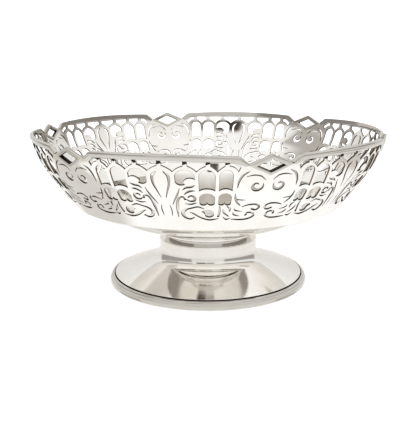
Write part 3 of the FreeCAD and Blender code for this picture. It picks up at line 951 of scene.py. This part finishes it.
# Each card: its middle and half width as degrees round from the front, to the right, its low
# and high edge as heights, its colour, and how soft its edges are if not CARD_SOFTNESS.
# They stand all round the bowl, three of them below the horizon, where the floor would be.
CARD_SOFTNESS = 0.05
CARDS = (
    (-17, 11, 0.42, 0.67, (0.07, 0.055, 0.045)),
    (5, 10, 0.42, 0.66, (0.34, 0.31, 0.28)),
    (-8, 9, 0.905, 0.960, (0.07, 0.055, 0.045), 0.012),
    (84, 46, 0.02, 0.33, (0.37, 0.345, 0.33)),
    (-84, 46, 0.02, 0.42, (0.37, 0.345, 0.33)),
    (-96, 20, 0.42, 0.74, (0.50, 0.475, 0.45)),
    (105, 20, -0.50, -0.34, (0.66, 0.62, 0.57), 0.03),
    (-105, 20, -0.50, -0.34, (0.66, 0.62, 0.57), 0.03),
    (-126, 27, -0.82, -0.42, (0.73, 0.705, 0.68)),
    (168, 13, 0.68, 0.86, (0.54, 0.50, 0.45)),
    (-168, 13, 0.68, 0.86, (0.54, 0.50, 0.45)),
)


def card(tree, sky, azimuth, height, centre, reach, low, high, colour, soft=CARD_SOFTNESS):
    """The sky with one of the CARDS in it."""
    off = node(tree, "ShaderNodeMath", operation="SUBTRACT")
    tree.links.new(azimuth, off.inputs[0])
    off.inputs[1].default_value = math.radians(centre)
    size = node(tree, "ShaderNodeMath", operation="ABSOLUTE")
    tree.links.new(off.outputs["Value"], size.inputs[0])
    across = node(tree, "ShaderNodeMapRange", interpolation_type="SMOOTHSTEP")
    across.inputs["From Min"].default_value = math.radians(reach) + soft
    across.inputs["From Max"].default_value = math.radians(reach) - soft
    tree.links.new(size.outputs["Value"], across.inputs["Value"])
    share = across.outputs["Result"]
    for edge, inward in ((low, soft), (high, -soft)):
        step = node(tree, "ShaderNodeMapRange", interpolation_type="SMOOTHSTEP")
        step.inputs["From Min"].default_value = edge - inward
        step.inputs["From Max"].default_value = edge + inward
        tree.links.new(height, step.inputs["Value"])
        both = node(tree, "ShaderNodeMath", operation="MULTIPLY")
        tree.links.new(share, both.inputs[0])
        tree.links.new(step.outputs["Result"], both.inputs[1])
        share = both.outputs["Value"]
    mixed = node(tree, "ShaderNodeMix", data_type="RGBA")
    tree.links.new(share, mixed.inputs["Factor"])
    tree.links.new(sky, mixed.inputs[MIX_FIRST])
    mixed.inputs[MIX_SECOND].default_value = (*colour, 1)
    return mixed.outputs[MIX_RESULT]


def studio_world():
    """The tent: graded and with its cards for reflected rays, plain white for the others."""
    world = bpy.data.worlds.new("studio")
    bpy.context.scene.world = world
    world.use_nodes = True
    tree = world.node_tree
    background = tree.nodes["Background"]
    place = node(tree, "ShaderNodeTexCoord")
    parts = node(tree, "ShaderNodeSeparateXYZ")
    tree.links.new(place.outputs["Generated"], parts.inputs["Vector"])
    share = node(tree, "ShaderNodeMapRange")
    share.inputs["From Min"].default_value = -1.0
    tree.links.new(parts.outputs["Z"], share.inputs["Value"])
    height = node(tree, "ShaderNodeValToRGB")
    ramp = height.color_ramp
    ramp.elements[0].color = (*TENT_COLOURS[0][1], 1)
    ramp.elements[1].color = (*TENT_COLOURS[-1][1], 1)
    for level, colour in TENT_COLOURS[1:-1]:
        ramp.elements.new((level + 1) / 2).color = (*colour, 1)
    tree.links.new(share.outputs["Result"], height.inputs["Fac"])
    front = node(tree, "ShaderNodeMath", operation="MULTIPLY")
    front.inputs[1].default_value = -1.0
    tree.links.new(parts.outputs["Y"], front.inputs[0])
    azimuth = node(tree, "ShaderNodeMath", operation="ARCTAN2")
    tree.links.new(parts.outputs["X"], azimuth.inputs[0])
    tree.links.new(front.outputs["Value"], azimuth.inputs[1])
    sky = height.outputs["Color"]
    for span in CARDS:
        sky = card(tree, sky, azimuth.outputs["Value"], parts.outputs["Z"], *span)
    seen = node(tree, "ShaderNodeLightPath")
    shown = node(tree, "ShaderNodeMix", data_type="RGBA")
    shown.inputs[MIX_FIRST].default_value = (TENT_LIGHT, TENT_LIGHT, TENT_LIGHT, 1)
    tree.links.new(seen.outputs["Is Glossy Ray"], shown.inputs["Factor"])
    tree.links.new(sky, shown.inputs[MIX_SECOND])
    tree.links.new(shown.outputs[MIX_RESULT], background.inputs["Color"])


def softbox(name, place, size, power):
    """A soft light that faces the bowl and isn't itself mirrored in the silver."""
    data = bpy.data.lights.new(name, "AREA")
    data.shape = "RECTANGLE"
    data.size, data.size_y = size
    data.energy = power
    lamp = bpy.data.objects.new(name, data)
    lamp.location = place
    lamp.rotation_euler = (-Vector(place)).to_track_quat("-Z", "Y").to_euler()
    lamp.visible_glossy = False
    bpy.context.scene.collection.objects.link(lamp)


def camera():
    """The camera, where it stands in the photograph."""
    data = bpy.data.cameras.new("camera")
    data.lens = CAMERA_LENS
    data.sensor_width = CAMERA_SENSOR
    seen = bpy.data.objects.new("camera", data)
    seen.location = CAMERA_PLACE
    seen.rotation_euler = (math.radians(90 - CAMERA_TILT), 0, 0)
    bpy.context.scene.collection.objects.link(seen)
    bpy.context.scene.camera = seen


def floor():
    """The floor. The silver mirrors the lower half of the tent in its place."""
    mesh = bpy.data.meshes.new("floor")
    reach = FLOOR_REACH
    mesh.from_pydata(
        [(-reach, -reach, 0), (reach, -reach, 0), (reach, reach, 0), (-reach, reach, 0)],
        [], [(0, 1, 2, 3)],
    )
    sheet = bpy.data.objects.new("floor", mesh)
    sheet.data.materials.append(floor_material())
    bpy.context.scene.collection.objects.link(sheet)
    sheet.visible_glossy = False


# ---- the object ----
def stand_for(piece, node_name, slot, *materials):
    """Gives a piece its materials, its body and the CAD node it replaces. The slot is not used."""
    for material in materials:
        piece.data.materials.append(material)
    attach(piece, "root")
    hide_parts(node_name)


polished = silver(
    "polished_silver", (0.92, 0.905, 0.88), smooth=0.035, rough=0.10, wave_height=0.00012
)
# The wires' silver is a darker copy of the polished silver: its colour is a painted shade.
shaded_wire_silver = silver(
    "shaded_wire_silver", (0.63, 0.61, 0.58), smooth=0.05, rough=0.13, wave_height=0.00006
)
# The sawn edges' silver is dark partly from tarnish and partly as a painted shade in the openings.
sawn_tarnish_and_shade = silver(
    "sawn_silver_tarnish_and_shade", (0.26, 0.215, 0.175), smooth=0.18, rough=0.34, wave_height=0.00005
)
# Near-black silver: a painted shadow at the stud heads, and painted shade in the lozenges' eyes and in
# the foot's groove.
painted_shadow = silver(
    "painted_shadow_silver", (0.035, 0.03, 0.026), smooth=0.35, rough=0.6, wave_height=0.00005
)

flat, triangles = pierced_sheet()
edges = border_edges(triangles)
direction, mitre = border_directions(flat, edges)
sheet = (flat, triangles, edges, direction, mitre)
for number in range(PANELS):
    stand_for(
        pierced_panel(number, sheet), "pierced_panel_%d" % (number + 1),
        "pierced_silver", polished, sawn_tarnish_and_shade, painted_shadow,
    )
    stand_for(rim_wire(number), "rim_wire_%d" % (number + 1), "silver_wire", shaded_wire_silver)
    stand_for(
        lozenge(number), "lozenge_mount_%d" % (number + 1),
        "silver_wire", shaded_wire_silver, painted_shadow,
    )
stand_for(dish(), "bowl_dish", "polished_silver", polished)
stand_for(collar(), "neck_collar", "polished_silver", polished, shaded_wire_silver)
stand_for(foot(), "foot_shell", "polished_silver", polished, painted_shadow)
stand_for(foot_wire(), "foot_rim_wire", "silver_wire", shaded_wire_silver, painted_shadow)

floor()
studio_world()
for name, place, size, power in SOFTBOXES:
    softbox(name, place, size, power)
camera()
bpy.context.scene.view_settings.view_transform = "Standard"
